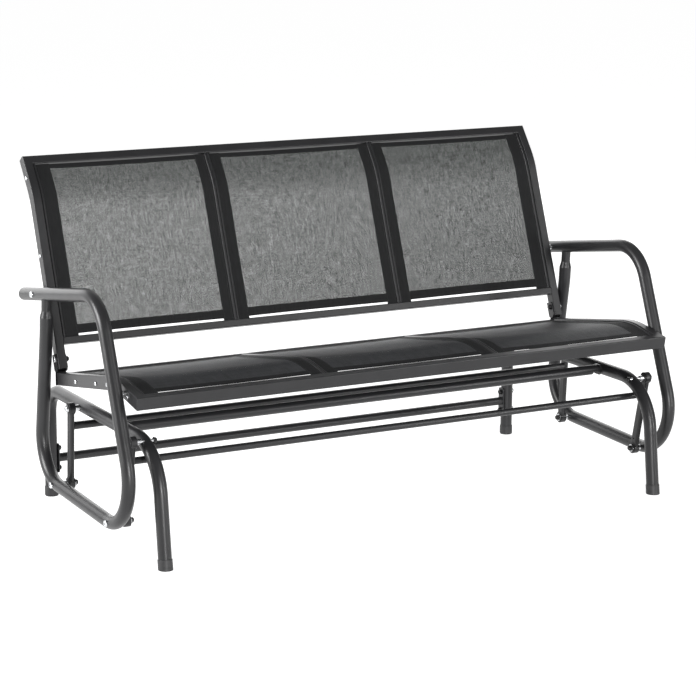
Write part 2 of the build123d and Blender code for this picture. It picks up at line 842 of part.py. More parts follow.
# ================================================================ back frame
upright_section = box_section(frame_width, upright_depth)
back_screws = [behind_back(z, track_screw_depth_back) for z in back_track_screw_z]
for hand, side in sides.items():
    upright_x = side * (frame_x - frame_width / 2)
    with BuildPart() as back_upright:
        with BuildLine(Plane.YZ.offset(upright_x)) as run:
            FilletPolyline(
                *inset_run(back_run, upright_depth / 2), radius=back_knee_radius - upright_depth / 2
            )
        with BuildSketch(profile_plane(run.line)):
            add(upright_section)
        sweep()
        split(bisect_by=mitre_plane(side, back_top_front, back_upward), keep=Keep.TOP)
        with Locations(*[(upright_x, *point) for point in back_screws]):
            Cylinder(
                track_screw_radius + hole_clearance,
                frame_width * 2,
                rotation=(0, 90, 0),
                mode=Mode.SUBTRACT,
            )
        with Locations((upright_x, *bracket_bolt)):
            Cylinder(
                frame_bolt_radius + hole_clearance,
                frame_width * 2,
                rotation=(0, 90, 0),
                mode=Mode.SUBTRACT,
            )
        with Locations((side * frame_x, *arm_rear_bolt)):
            Cylinder(
                rivet_nut_radius + hole_clearance,
                frame_width,
                rotation=(0, 90, 0),
                mode=Mode.SUBTRACT,
            )
    save(back_upright, f"back_upright_{hand}")

with BuildPart() as back_top_rail:
    centre = along(
        along(back_top_front, back_upward, -frame_width / 2), back_rearward, upright_depth / 2
    )
    with BuildSketch(Plane(origin=(-frame_x, *centre), x_dir=(0, *back_upward), z_dir=(1, 0, 0))):
        add(upright_section)
    extrude(amount=2 * frame_x)
    for side in sides.values():
        split(bisect_by=mitre_plane(side, back_top_front, back_upward), keep=Keep.BOTTOM)
save(back_top_rail, "back_top_rail")

with BuildPart() as back_lower_rail:
    centre = behind_back(lower_rail_front_z, lower_rail_depth / 2)
    with BuildSketch(
        Plane(origin=(-frame_inner_x, *centre), x_dir=(0, *lower_back_upward), z_dir=(1, 0, 0))
    ):
        add(box_section(lower_rail_height, lower_rail_depth))
    extrude(amount=2 * frame_inner_x)
save(back_lower_rail, "back_lower_rail")

plug_inset = 2 * (frame_wall + plug_clearance)
with BuildPart() as upright_end_plugs:
    foot_centre = along(back_bottom_front, lower_back_rearward, upright_depth / 2)
    for side in sides.values():
        end_plane = Plane(
            origin=(side * (frame_x - frame_width / 2), *foot_centre),
            x_dir=(1, 0, 0),
            z_dir=(0, *lower_back_upward),
        )
        with BuildSketch(end_plane):
            RectangleRounded(frame_width, upright_depth, frame_corner)
        extrude(amount=-plug_head)
        with BuildSketch(end_plane):
            RectangleRounded(frame_width - plug_inset, upright_depth - plug_inset, plug_corner)
        extrude(amount=plug_tail)
save(upright_end_plugs, "upright_end_plugs")

# each bracket is a folded channel: two cheeks on the upright, and a web behind it that runs
# down to close the rear end of the seat rail
outer_face = along(back_bottom_front, lower_back_upward, cheek_start)
cheek_top = along(outer_face, lower_back_upward, bracket_rise)
cheek_shoulder = along(outer_face, lower_back_upward, cheek_shoulder_rise)
web_foot = along(outer_face, lower_back_upward, -bracket_foot)
web_rear = upright_depth + bracket_plate
rail_end_y, rail_end_z = seat_rear_top
cheek = [
    along(outer_face, lower_back_rearward, cheek_front),
    along(cheek_shoulder, lower_back_rearward, cheek_front),
    along(cheek_top, lower_back_rearward, cheek_shoulder_front),
    along(cheek_top, lower_back_rearward, web_rear),
    along(web_foot, lower_back_rearward, web_rear),
    (rail_end_y + bracket_plate, rail_end_z + cheek_lip),
    (rail_end_y + bracket_plate, rail_end_z - rail_depth),
    (rail_end_y + bracket_gap, rail_end_z - rail_depth),
    (rail_end_y + bracket_gap, rail_end_z + cheek_lip),
    (rail_end_y - cheek_toe[0], rail_end_z + cheek_toe[1]),
]
web = [
    along(cheek_top, lower_back_rearward, upright_depth + bracket_gap),
    *cheek[3:9],
    along(web_foot, lower_back_rearward, upright_depth + bracket_gap),
]
with BuildPart() as upright_brackets:
    for side in sides.values():
        for x in (frame_x, frame_inner_x - bracket_plate):
            with BuildSketch(Plane.YZ.offset(side * x)):
                with BuildLine():
                    Polyline(*cheek, close=True)
                make_face()
            extrude(amount=side * bracket_plate)
        with BuildSketch(Plane.YZ.offset(side * (frame_inner_x - bracket_plate))):
            with BuildLine():
                Polyline(*web, close=True)
            make_face()
        extrude(amount=side * (frame_width + 2 * bracket_plate))
        with Locations((side * frame_x, *bracket_bolt)):
            Cylinder(
                frame_bolt_radius + hole_clearance,
                frame_width * 4,
                rotation=(0, 90, 0),
                mode=Mode.SUBTRACT,
            )
save(upright_brackets, "upright_brackets")

# ================================================================ sling tracks and mid rails
seat_track_run = [
    under_seat(seat_sling_rear_y + track_past_sling, 0),
    seat_crown,
    along(front_rail_rear, seat_forward, -track_end_gap),
]
back_track_run = [
    back_face(lower_rail_top_z + track_end_gap),
    back_knee,
    along(top_rail_underside, back_upward, -track_end_gap),
]
track_surfaces = {
    "seat": (seat_track_run, seat_crown_radius, seat_screws, 1),
    "back": (back_track_run, back_knee_radius, back_screws, -1),
}
for surface, (surface_run, knee_radius, screws, facing) in track_surfaces.items():
    bead_run = inset_run(surface_run, bead_depth)
    with BuildPart() as side_tracks:
        for side in sides.values():
            with BuildLine(Plane.YZ.offset(side * track_x)) as run:
                FilletPolyline(*bead_run, radius=knee_radius - bead_depth)
            with BuildSketch(profile_plane(run.line, facing)):
                add(side_track_section(side * facing))
            sweep()
            with Locations(*[(side * frame_inner_x, *point) for point in screws]):
                Cylinder(
                    track_screw_radius + hole_clearance,
                    track_screw_cut,
                    rotation=(0, 90, 0),
                    mode=Mode.SUBTRACT,
                )
            if surface == "seat":
                with Locations((side * frame_inner_x, *seat_arm_bolt)):
                    Cylinder(
                        frame_bolt_radius + hole_clearance,
                        track_screw_cut,
                        rotation=(0, 90, 0),
                        mode=Mode.SUBTRACT,
                    )
    save(side_tracks, f"{surface}_side_tracks")

    for hand, side in sides.items():
        with BuildPart() as mid_rail:
            with BuildLine(Plane.YZ.offset(side * mid_rail_x)) as run:
                FilletPolyline(*bead_run, radius=knee_radius - bead_depth)
            with BuildSketch(profile_plane(run.line, facing)):
                add(mid_track_section())
            sweep()
        save(mid_rail, f"{surface}_mid_rail_{hand}")

# ================================================================ slings and their edge rods
# each panel hangs between two beads; its edge rods lie in the bores of those beads
outer_bead_x = track_x
inner_bead_x = mid_rail_x + bead_offset
panel_beads = {
    "left": (-outer_bead_x, -inner_bead_x),
    "centre": (-mid_rail_x + bead_offset, mid_rail_x - bead_offset),
    "right": (inner_bead_x, outer_bead_x),
}
sling_runs = {
    "seat": (
        [under_seat(seat_sling_rear_y, 0), seat_crown, under_seat(seat_sling_front_y, 0)],
        seat_crown_radius,
        1,
    ),
    "back": (
        [back_face(back_sling_bottom_z), back_knee, back_face(back_sling_top_z)],
        back_knee_radius,
        -1,
    ),
}
for surface, (surface_run, knee_radius, facing) in sling_runs.items():
    sling_run = inset_run(surface_run, bead_depth)
    for seat, (low_x, high_x) in panel_beads.items():
        panel_width = high_x - low_x - 2 * (bead_radius + sling_gap)
        with BuildPart() as sling:
            with BuildLine(Plane.YZ.offset((low_x + high_x) / 2)) as run:
                FilletPolyline(*sling_run, radius=knee_radius - bead_depth)
            with BuildSketch(profile_plane(run.line, facing)):
                Rectangle(panel_width, sling_thickness)
            sweep()
        save(sling, f"{surface}_sling_{seat}")

    with BuildPart() as sling_rods:
        for bead_pair in panel_beads.values():
            for bead_x in bead_pair:
                with BuildLine(Plane.YZ.offset(bead_x)) as run:
                    FilletPolyline(*sling_run, radius=knee_radius - bead_depth)
                with BuildSketch(profile_plane(run.line)):
                    Circle(rod_radius)
                sweep()
    save(sling_rods, f"{surface}_sling_rods")

# ================================================================ frame fasteners
track_screw = make_bolt(
    track_screw_radius, frame_width + track_leg + track_screw_end, track_screw_head
)
with BuildPart() as track_screws:
    for side in sides.values():
        with Locations(*[across(side, frame_x, point) for point in seat_screws + back_screws]):
            add(track_screw)
save(track_screws, "track_screws")

loop_spacer = make_ring(spacer_radius, frame_bolt_radius + hole_clearance, loop_inner_x - frame_x)
with BuildPart() as loop_spacers:
    for side in sides.values():
        with Locations(
            across(side, frame_x, arm_rear_bolt),
            across(side, frame_x, seat_arm_bolt),
        ):
            add(loop_spacer)
save(loop_spacers, "loop_spacers")

rivet_nut = make_ring(rivet_nut_radius, frame_bolt_radius + hole_clearance, rivet_nut_length)
with BuildPart() as rivet_nuts:
    for side in sides.values():
        with Locations(
            across(side, loop_inner_x, seat_arm_bolt),
            across(side, frame_x, arm_rear_bolt, outward=False),
        ):
            add(rivet_nut)
save(rivet_nuts, "rivet_nuts")

arm_bolt = make_bolt(
    frame_bolt_radius, loop_outer_x - frame_x + rivet_nut_length, pivot_head
)
with BuildPart() as arm_rear_bolts:
    for side in sides.values():
        with Locations(across(side, loop_outer_x, arm_rear_bolt)):
            add(arm_bolt)
save(arm_rear_bolts, "arm_rear_bolts")

seat_arm_head_x = frame_inner_x - track_leg
seat_arm_bolt_shape = make_bolt(
    frame_bolt_radius, loop_inner_x - seat_arm_head_x + rivet_nut_length, seat_arm_head
)
with BuildPart() as seat_arm_bolts:
    for side in sides.values():
        with Locations(across(side, seat_arm_head_x, seat_arm_bolt, outward=False)):
            add(seat_arm_bolt_shape)
save(seat_arm_bolts, "seat_arm_bolts")

bracket_bolt_shape = make_bolt(
    frame_bolt_radius, frame_width + 2 * bracket_plate + thread_past_face, frame_head
)
with BuildPart() as bracket_bolts:
    for side in sides.values():
        with Locations(across(side, frame_x + bracket_plate, bracket_bolt)):
            add(bracket_bolt_shape)
save(bracket_bolts, "bracket_bolts")

with BuildPart() as bracket_nuts:
    for side in sides.values():
        with Locations(
            across(side, frame_inner_x - bracket_plate, bracket_bolt, outward=False),
        ):
            add(cap_nut)
save(bracket_nuts, "bracket_nuts")
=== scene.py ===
"""Glider swing: camera, studio, finishes, and six sewn mesh slings.

Metres, in the CAD frame: X along the bench, -Y its front, Z up, origin on the floor.
"""
import json
import math
import bpy
import numpy as np
from mathutils import Matrix, Vector


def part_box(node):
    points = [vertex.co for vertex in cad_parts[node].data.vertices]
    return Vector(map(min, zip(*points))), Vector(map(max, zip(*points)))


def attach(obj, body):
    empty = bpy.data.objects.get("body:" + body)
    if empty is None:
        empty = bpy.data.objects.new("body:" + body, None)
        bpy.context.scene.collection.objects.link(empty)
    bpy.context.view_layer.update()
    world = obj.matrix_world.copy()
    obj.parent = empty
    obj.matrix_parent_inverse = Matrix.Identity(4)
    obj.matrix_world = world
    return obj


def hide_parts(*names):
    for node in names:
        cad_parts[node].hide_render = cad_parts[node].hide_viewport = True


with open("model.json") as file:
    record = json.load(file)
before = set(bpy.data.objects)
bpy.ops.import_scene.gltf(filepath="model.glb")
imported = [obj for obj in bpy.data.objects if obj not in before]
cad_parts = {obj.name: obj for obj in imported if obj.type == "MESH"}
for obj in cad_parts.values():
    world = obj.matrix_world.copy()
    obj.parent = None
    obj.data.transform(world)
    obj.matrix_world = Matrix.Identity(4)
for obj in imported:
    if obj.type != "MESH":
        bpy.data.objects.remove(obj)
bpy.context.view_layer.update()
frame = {"nodes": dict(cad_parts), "record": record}
nodes = frame["nodes"]
scene = bpy.context.scene
mm = 0.001

# ---------------------------------------------------------------- camera
camera_place = (-2.727, -4.914, 1.604)
camera_azimuth = math.radians(28.922)
camera_drop = math.radians(12.341)
camera_roll = math.radians(0.387)


def make_camera():
    """A long lens to the left of the bench's front, a little above it, turned towards its middle."""
    forward = Vector((
        math.sin(camera_azimuth) * math.cos(camera_drop),
        math.cos(camera_azimuth) * math.cos(camera_drop),
        -math.sin(camera_drop),
    ))
    level = Vector((math.cos(camera_azimuth), -math.sin(camera_azimuth), 0))
    upward = level.cross(forward)
    right = level * math.cos(camera_roll) + upward * math.sin(camera_roll)
    up = upward * math.cos(camera_roll) - level * math.sin(camera_roll)
    data = bpy.data.cameras.new("camera")
    data.lens = 119.5
    data.sensor_width = 36.0
    camera = bpy.data.objects.new("camera", data)
    scene.collection.objects.link(camera)
    turn = Matrix((right, up, -forward)).transposed().to_4x4()
    camera.matrix_world = Matrix.Translation(camera_place) @ turn
    return camera


scene.camera = make_camera()

# ---------------------------------------------------------------- studio
scene.view_settings.view_transform = "Standard"
scene.view_settings.look = "None"


def softbox(name, place, target, size, power):
    """A rectangular area light that faces its target and that the camera doesn't see."""
    data = bpy.data.lights.new(name, "AREA")
    data.shape = "RECTANGLE"
    data.size, data.size_y = size
    data.energy = power
    light = bpy.data.objects.new(name, data)
    scene.collection.objects.link(light)
    light.location = place
    light.visible_camera = False
    light.rotation_euler = (Vector(target) - Vector(place)).to_track_quat("-Z", "Y").to_euler()


softbox("softbox_left", (-4.2, 0.8, 1.9), (-0.5, 0.0, 0.4), (2.4, 1.8), 250)
softbox("softbox_back", (0.6, 4.6, 1.9), (0.0, 0.0, 0.7), (8.0, 3.2), 210)
softbox("softbox_front", (-1.0, -4.4, 0.9), (-0.6, -0.3, 0.3), (0.35, 1.5), 130)
softbox("softbox_right", (2.8, -3.8, 0.9), (0.7, -0.3, 0.3), (0.5, 1.5), 50)
softbox("softbox_fill", (2.6, -3.7, 2.7), (0.0, 0.1, 0.7), (2.4, 2.0), 34)


# ---------------------------------------------------------------- node helper
class Finish:
    """A material under construction: a Principled surface and short names for the nodes that feed it."""

    def __init__(self, name, colour, roughness, metallic=0.0):
        self.material = bpy.data.materials.new(name)
        self.material.use_nodes = True
        self.tree = self.material.node_tree
        self.surface = self.tree.nodes["Principled BSDF"]
        self.surface.inputs["Base Color"].default_value = (*colour, 1)
        self.surface.inputs["Roughness"].default_value = roughness
        self.surface.inputs["Metallic"].default_value = metallic
        self.coordinates = self.tree.nodes.new("ShaderNodeTexCoord")

    def feed(self, socket, value):
        """Links a socket, or sets a number, on an input."""
        if isinstance(value, bpy.types.NodeSocket):
            self.tree.links.new(value, socket)
        else:
            socket.default_value = value

    def math(self, operation, first, second=0.0):
        node = self.tree.nodes.new("ShaderNodeMath")
        node.operation = operation
        self.feed(node.inputs[0], first)
        self.feed(node.inputs[1], second)
        return node.outputs[0]

    def stretched(self, source, scale):
        """The coordinates times a scale in each direction."""
        node = self.tree.nodes.new("ShaderNodeMapping")
        self.feed(node.inputs["Vector"], self.coordinates.outputs[source])
        node.inputs["Scale"].default_value = scale
        return node.outputs[0]

    def noise(self, source, scale, detail=2.0, roughness=0.5):
        """Noise from 0 to 1 whose features are 1/scale metres across in each direction."""
        node = self.tree.nodes.new("ShaderNodeTexNoise")
        self.feed(node.inputs["Vector"], self.stretched(source, scale))
        node.inputs["Scale"].default_value = 1.0
        node.inputs["Detail"].default_value = detail
        node.inputs["Roughness"].default_value = roughness
        return node.outputs["Fac"]

    def ramp(self, factor, low, high, low_colour, high_colour):
        """A colour that goes from low_colour at low to high_colour at high."""
        node = self.tree.nodes.new("ShaderNodeValToRGB")
        self.feed(node.inputs["Fac"], factor)
        first, last = node.color_ramp.elements
        first.position, first.color = low, (*low_colour, 1)
        last.position, last.color = high, (*high_colour, 1)
        return node.outputs["Color"]

    def span(self, factor, low, high):
        """Maps 0..1 to low..high."""
        node = self.tree.nodes.new("ShaderNodeMapRange")
        self.feed(node.inputs["Value"], factor)
        node.inputs["To Min"].default_value = low
        node.inputs["To Max"].default_value = high
        return node.outputs["Result"]

    def bump(self, height, distance, strength):
        node = self.tree.nodes.new("ShaderNodeBump")
        node.inputs["Distance"].default_value = distance
        node.inputs["Strength"].default_value = strength
        self.feed(node.inputs["Height"], height)
        self.feed(self.surface.inputs["Normal"], node.outputs["Normal"])


def even(size):
    """The same scale in all directions, for features that many metres across."""
    return (1 / size, 1 / size, 1 / size)


# ---------------------------------------------------------------- finishes
def powder_coat():
    """Satin charcoal powder coat: a fine orange peel, a little clouding and uneven sheen."""
    finish = Finish("powder_coat", (0.02, 0.02, 0.021), 0.35)
    finish.surface.inputs["Specular IOR Level"].default_value = 0.42
    clouding = finish.noise("Object", even(0.06), 3)
    tone = finish.ramp(clouding, 0.3, 0.7, (0.0145, 0.0145, 0.0155), (0.020, 0.020, 0.0215))
    finish.feed(finish.surface.inputs["Base Color"], tone)
    fleck = finish.noise("Object", even(0.0012), 2)
    finish.feed(finish.surface.inputs["Roughness"], finish.span(fleck, 0.28, 0.42))
    peel = finish.noise("Object", even(0.0022), 3)
    finish.bump(peel, 0.0002, 0.35)
    return finish.material


def zinc_plate():
    """Bright zinc plate: fine tumbled scratches and a faint cloudy passivation."""
    finish = Finish("zinc_plate", (0.74, 0.75, 0.77), 0.22, metallic=1.0)
    cloud = finish.noise("Object", even(0.004), 3)
    tone = finish.ramp(cloud, 0.3, 0.7, (0.60, 0.61, 0.63), (0.80, 0.81, 0.82))
    finish.feed(finish.surface.inputs["Base Color"], tone)
    scratch = finish.noise("Object", (2500, 400, 400), 2)
    finish.feed(finish.surface.inputs["Roughness"], finish.span(scratch, 0.14, 0.34))
    finish.bump(scratch, 0.00005, 0.2)
    return finish.material


def black_plate():
    """Black-finished steel nuts: oiled, slightly mottled."""
    finish = Finish("black_plate", (0.012, 0.012, 0.012), 0.35, metallic=0.4)
    mottle = finish.noise("Object", even(0.0015), 3)
    tone = finish.ramp(mottle, 0.3, 0.7, (0.008, 0.008, 0.009), (0.02, 0.02, 0.02))
    finish.feed(finish.surface.inputs["Base Color"], tone)
    finish.feed(finish.surface.inputs["Roughness"], finish.span(mottle, 0.25, 0.5))
    finish.bump(mottle, 0.00008, 0.3)
    return finish.material


def moulded_plastic(name, colour, grain):
    """Black moulded plastic with a fine leathery grain of the given size."""
    finish = Finish(name, colour, 0.5)
    pebble = finish.noise("Object", even(grain), 4, 0.6)
    scuffs = finish.noise("Object", even(0.012), 3)
    light = tuple(min(1.0, 1.8 * part + 0.006) for part in colour)
    tone = finish.ramp(scuffs, 0.35, 0.75, colour, light)
    finish.feed(finish.surface.inputs["Base Color"], tone)
    finish.feed(finish.surface.inputs["Roughness"], finish.span(pebble, 0.4, 0.6))
    finish.bump(pebble, 0.00012, 0.5)
    return finish.material


def rod_finish():
    """Pultruded rod: fine streaks along it."""
    finish = Finish("edge_rod", (0.03, 0.03, 0.03), 0.4)
    streak = finish.noise("Object", (1500, 60, 60), 2)
    tone = finish.ramp(streak, 0.3, 0.7, (0.02, 0.02, 0.02), (0.05, 0.05, 0.05))
    finish.feed(finish.surface.inputs["Base Color"], tone)
    finish.feed(finish.surface.inputs["Roughness"], finish.span(streak, 0.3, 0.5))
    return finish.material


yarn_pitch = 1.5 * mm


slub_across = 4.5 * mm
slub_along = 30.0 * mm
weave_lift = 0.25


def weave(finish, yarn_share, slub):
    """Plain weave on the cloth's own UV in metres: the cover, 1 on a yarn and 0 in a hole, and the relief.

    A warp yarn lies at each whole pitch of U and a weft yarn at each whole pitch of V. Each is yarn_share
    of the pitch wide, and slub widens and narrows it along its length. cos(pi u) cos(pi v) says which is
    on top, and the other one lies weave_lift lower.
    """
    uv = finish.tree.nodes.new("ShaderNodeSeparateXYZ")
    finish.feed(uv.inputs[0], finish.coordinates.outputs["UV"])
    across = {}
    cover = {}
    hill = {}
    slub_scale = {"X": (1 / slub_across, 1 / slub_along, 1), "Y": (1 / slub_along, 1 / slub_across, 1)}
    for way in ("X", "Y"):
        pitches = finish.math("DIVIDE", uv.outputs[way], yarn_pitch)
        across[way] = finish.math("COSINE", finish.math("MULTIPLY", pitches, math.pi))
        off_centre = finish.math("PINGPONG", pitches, 0.5)
        uneven = finish.noise("UV", slub_scale[way], 2, 0.6)
        half = finish.span(uneven, yarn_share / 2 - slub, yarn_share / 2 + slub)
        cover[way] = finish.math("LESS_THAN", off_centre, half)
        hill[way] = finish.math("COSINE", finish.math("MULTIPLY", off_centre, math.pi))
    over = finish.math("MULTIPLY", across["X"], across["Y"])
    lowered = finish.math("SUBTRACT", 1.0, finish.span(over, 0.0, weave_lift))
    warp = finish.math("MULTIPLY", hill["X"], finish.span(over, 1.0 - weave_lift, 1.0))
    weft = finish.math("MULTIPLY", hill["Y"], lowered)
    return finish.math("MAXIMUM", cover["X"], cover["Y"]), finish.math("MAXIMUM", warp, weft)


def sling_mesh(name, dark, light, yarn_share, streak_size):
    """Open mesh of coated yarn, streaked along warp and weft, with real holes between the yarns."""
    finish = Finish(name, dark, 0.6)
    finish.surface.inputs["Specular IOR Level"].default_value = 0.3
    cover, relief = weave(finish, yarn_share, 0.14)
    short, long = streak_size
    warpwise = finish.noise("UV", (1 / short, 1 / long, 1), 3, 0.6)
    weftwise = finish.noise("UV", (1 / long, 1 / short, 1), 3, 0.6)
    streak = finish.math(
        "ADD", finish.math("MULTIPLY", warpwise, 0.6), finish.math("MULTIPLY", weftwise, 0.4)
    )
    tone = finish.ramp(streak, 0.38, 0.62, dark, light)
    finish.feed(finish.surface.inputs["Base Color"], tone)
    finish.feed(finish.surface.inputs["Alpha"], cover)
    finish.bump(relief, 0.0003, 0.5)
    return finish.material


def hem_cloth():
    """The same yarn doubled and heat-pressed in black hems: closed, with the weave as relief."""
    finish = Finish("hem_cloth", (0.008, 0.008, 0.009), 0.75)
    finish.surface.inputs["Specular IOR Level"].default_value = 0.25
    _, relief = weave(finish, 0.5, 0.05)
    streak = finish.noise("UV", (1 / 0.002, 1 / 0.03, 1), 2)
    tone = finish.ramp(streak, 0.3, 0.7, (0.006, 0.0062, 0.0066), (0.0115, 0.0118, 0.0125))
    finish.feed(finish.surface.inputs["Base Color"], tone)
    finish.bump(relief, 0.0003, 0.5)
    return finish.material


def thread():
    """Bonded polyester thread, twisted."""
    finish = Finish("thread", (0.02, 0.02, 0.021), 0.45)
    twist = finish.noise("Object", even(0.0006), 1)
    tone = finish.ramp(twist, 0.3, 0.7, (0.012, 0.012, 0.013), (0.035, 0.035, 0.037))
    finish.feed(finish.surface.inputs["Base Color"], tone)
    finish.bump(twist, 0.0001, 0.4)
    return finish.material


finishes = {
    "frame_paint": powder_coat(),
    "zinc": zinc_plate(),
    "black_nut": black_plate(),
    "black_plastic": moulded_plastic("black_plastic", (0.014, 0.014, 0.015), 0.0009),
    "bush_plastic": moulded_plastic("bush_nylon", (0.02, 0.02, 0.02), 0.0005),
    "rod": rod_finish(),
}
mesh_finish = {
    "back": sling_mesh(
        "back_mesh",
        (0.018, 0.0195, 0.0187),
        (0.118, 0.127, 0.122),
        yarn_share=0.555,
        streak_size=(4.0 * mm, 24.0 * mm),
    ),
    # The seat's copy of the yarn is darker and flatter in tone than the back's. This is painted shade: it
    # stands in for the shade under the seat that would show through the weave, which is drawn nearly closed.
    "seat": sling_mesh(
        "seat_mesh",
        (0.024, 0.025, 0.027),
        (0.040, 0.041, 0.044),
        yarn_share=0.86,
        streak_size=(9.0 * mm, 60.0 * mm),
    ),
}
hem_finish = hem_cloth()
thread_finish = thread()

for subpart in frame["record"]["subparts"]:
    if subpart["material_slot"] in finishes:
        skin = nodes[subpart["node"]].data.materials
        skin.clear()
        skin.append(finishes[subpart["material_slot"]])


# ---------------------------------------------------------------- meshes from arrays
def new_piece(name, points, faces, material, body, uv=None):
    """An object at the origin from points, quads and triangles, smooth but for its sharp rims."""
    mesh = bpy.data.meshes.new(name)
    mesh.from_pydata(points.tolist(), [], faces)
    if uv is not None:
        layer = mesh.uv_layers.new(name="cloth")
        corner = np.zeros(len(mesh.loops), np.int32)
        mesh.loops.foreach_get("vertex_index", corner)
        layer.data.foreach_set("uv", uv[corner].astype(np.float32).ravel())
    mesh.polygons.foreach_set("use_smooth", np.ones(len(mesh.polygons), bool))
    mesh.set_sharp_from_angle(angle=math.radians(50))
    mesh.materials.append(material)
    piece = bpy.data.objects.new(name, mesh)
    scene.collection.objects.link(piece)
    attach(piece, body)
    return piece


def shell(outer, inner):
    """A closed thin shell between two grids of points, both (rows, columns, 3).

    Point (i, j) is i * columns + j on the outer grid, and the inner grid follows it. Each cell is a quad on
    both grids, and each cell's edge along the grid's rim is a quad between them. If the volume that the
    faces enclose is negative, every face is turned round.
    """
    rows, columns = outer.shape[:2]
    points = np.concatenate([outer.reshape(-1, 3), inner.reshape(-1, 3)])
    index = np.arange(rows * columns).reshape(rows, columns)
    top = np.stack([index[:-1, :-1], index[:-1, 1:], index[1:, 1:], index[1:, :-1]], -1).reshape(-1, 4)
    under = top[:, ::-1] + rows * columns
    rim = np.concatenate([index[0, ::-1], index[1:, 0], index[-1, 1:], index[-2::-1, -1]])
    side = np.stack([rim[:-1], rim[1:], rim[1:] + rows * columns, rim[:-1] + rows * columns], -1)
    faces = np.concatenate([top, under, side])
    return points, outward(points, faces)


def outward(points, faces):
    """Turns every quad round if the volume they enclose, summed over their triangles, is negative."""
    a, b, c, d = (points[faces[:, k]] for k in range(4))
    volume = (a * np.cross(b, c)).sum() + (a * np.cross(c, d)).sum()
    return (faces[:, ::-1] if volume < 0 else faces).tolist()


def capsules(centres, along, up, length, radius):
    """Stitches: one closed lozenge at each centre, six sides round and three rings between its two poles.

    Ring k stands at share s of the half length with radius times sqrt(1 - s^2), and sinks with s^2 of the
    radius, so that the ends of a stitch dive into the cloth.
    """
    sides = 6
    share = np.array([-1.0, -0.75, 0.0, 0.75, 1.0])
    turn = np.arange(sides) * 2 * math.pi / sides
    beside = np.cross(along, up)
    sink = -1.2 * radius * share ** 2
    spine = (
        centres[:, None] + along[:, None] * (share * length / 2)[None, :, None]
        + up[:, None] * sink[None, :, None]
    )
    round_off = radius * np.sqrt(1 - share[1:4] ** 2)
    ring = beside[:, None] * np.cos(turn)[None, :, None] + up[:, None] * np.sin(turn)[None, :, None]
    rings = spine[:, 1:4, None] + ring[:, None] * round_off[None, :, None, None]
    count = len(centres)
    points = np.concatenate([spine[:, :1], rings.reshape(count, -1, 3), spine[:, 4:]], 1).reshape(-1, 3)
    per = 2 + 3 * sides
    faces = []
    here = np.arange(sides)
    there = (here + 1) % sides
    for start in range(0, count * per, per):
        faces += [(start, start + 1 + b, start + 1 + a) for a, b in zip(here, there)]
        for ring_start in (1, 1 + sides):
            faces += [
                (start + ring_start + a, start + ring_start + b,
                 start + ring_start + sides + b, start + ring_start + sides + a)
                for a, b in zip(here, there)
            ]
        faces += [
            (start + per - 1, start + 1 + 2 * sides + a, start + 1 + 2 * sides + b)
            for a, b in zip(here, there)
        ]
    return points, faces


# ---------------------------------------------------------------- the slings' runs
cloth_depth = 5.0 * mm
runs = {
    "seat": {
        "line": ((0.158, 0.355), (-0.1976, 0.4166), (-0.323, 0.3943)),
        "bend": 0.262,
        "ends": ("y", 0.134, -0.288),
        "tabs": (2.0 * mm, 11.0 * mm),
        "sag": 5.0 * mm,
    },
    "back": {
        "line": ((0.1405, 0.371), (0.292, 0.772), (0.355, 0.855)),
        "bend": 0.205,
        "ends": ("z", 0.445, 0.8355),
        "tabs": (6.0 * mm, 1.0 * mm),
        "sag": 2.5 * mm,
    },
}


class Run:
    """The line that a sling follows from its rear or bottom end to its front or top end, as (Y, Z).

    Two straight lines joined by a tangent arc, moved cloth_depth inwards from the faces of the rails. At
    length s the place is the first line up to the arc, then the arc turned by (s - start) / radius, then
    the second line, and the outward normal is the tangent turned a quarter to the outside of the arc.
    """

    def __init__(self, start, corner, end, bend, ends, **_):
        start, corner, end = (np.array(p) for p in (start, corner, end))
        first = (corner - start) / np.linalg.norm(corner - start)
        second = (end - corner) / np.linalg.norm(end - corner)
        turn = first[0] * second[1] - first[1] * second[0]
        self.hand = math.copysign(1.0, turn)
        self.angle = math.asin(abs(turn))
        axis = {"y": 0, "z": 1}[ends[0]]
        start = start + first * (ends[1] - start[axis]) / first[axis]
        end = corner + second * (ends[2] - corner[axis]) / second[axis]
        normal = {id(d): -self.hand * np.array((-d[1], d[0])) for d in (first, second)}
        self.first, self.radius = first, bend - cloth_depth
        inside = cloth_depth / (1 + float(first @ second))
        corner_in = corner - inside * (normal[id(first)] + normal[id(second)])
        self.start = start - cloth_depth * normal[id(first)]
        end = end - cloth_depth * normal[id(second)]
        cut = self.radius * math.tan(self.angle / 2)
        self.to_arc = float((corner_in - self.start) @ first) - cut
        self.arc = self.radius * self.angle
        self.length = self.to_arc + self.arc + float((end - corner_in) @ second) - cut

    def at(self, s):
        """Places and outward normals at lengths s, each (..., 2)."""
        s = np.asarray(s, float)
        straight = np.minimum(s, self.to_arc)[..., None]
        turned = np.clip(s - self.to_arc, 0, self.arc) / self.radius
        beyond = np.maximum(s - self.to_arc - self.arc, 0)[..., None]
        inward = self.hand * np.array((-self.first[1], self.first[0]))
        sine, cosine = np.sin(turned)[..., None], np.cos(turned)[..., None]
        tangent = cosine * self.first + sine * inward
        place = (
            self.start + straight * self.first
            + self.radius * (sine * self.first + (1 - cosine) * inward)
            + beyond * tangent
        )
        return place, sine * self.first - cosine * inward


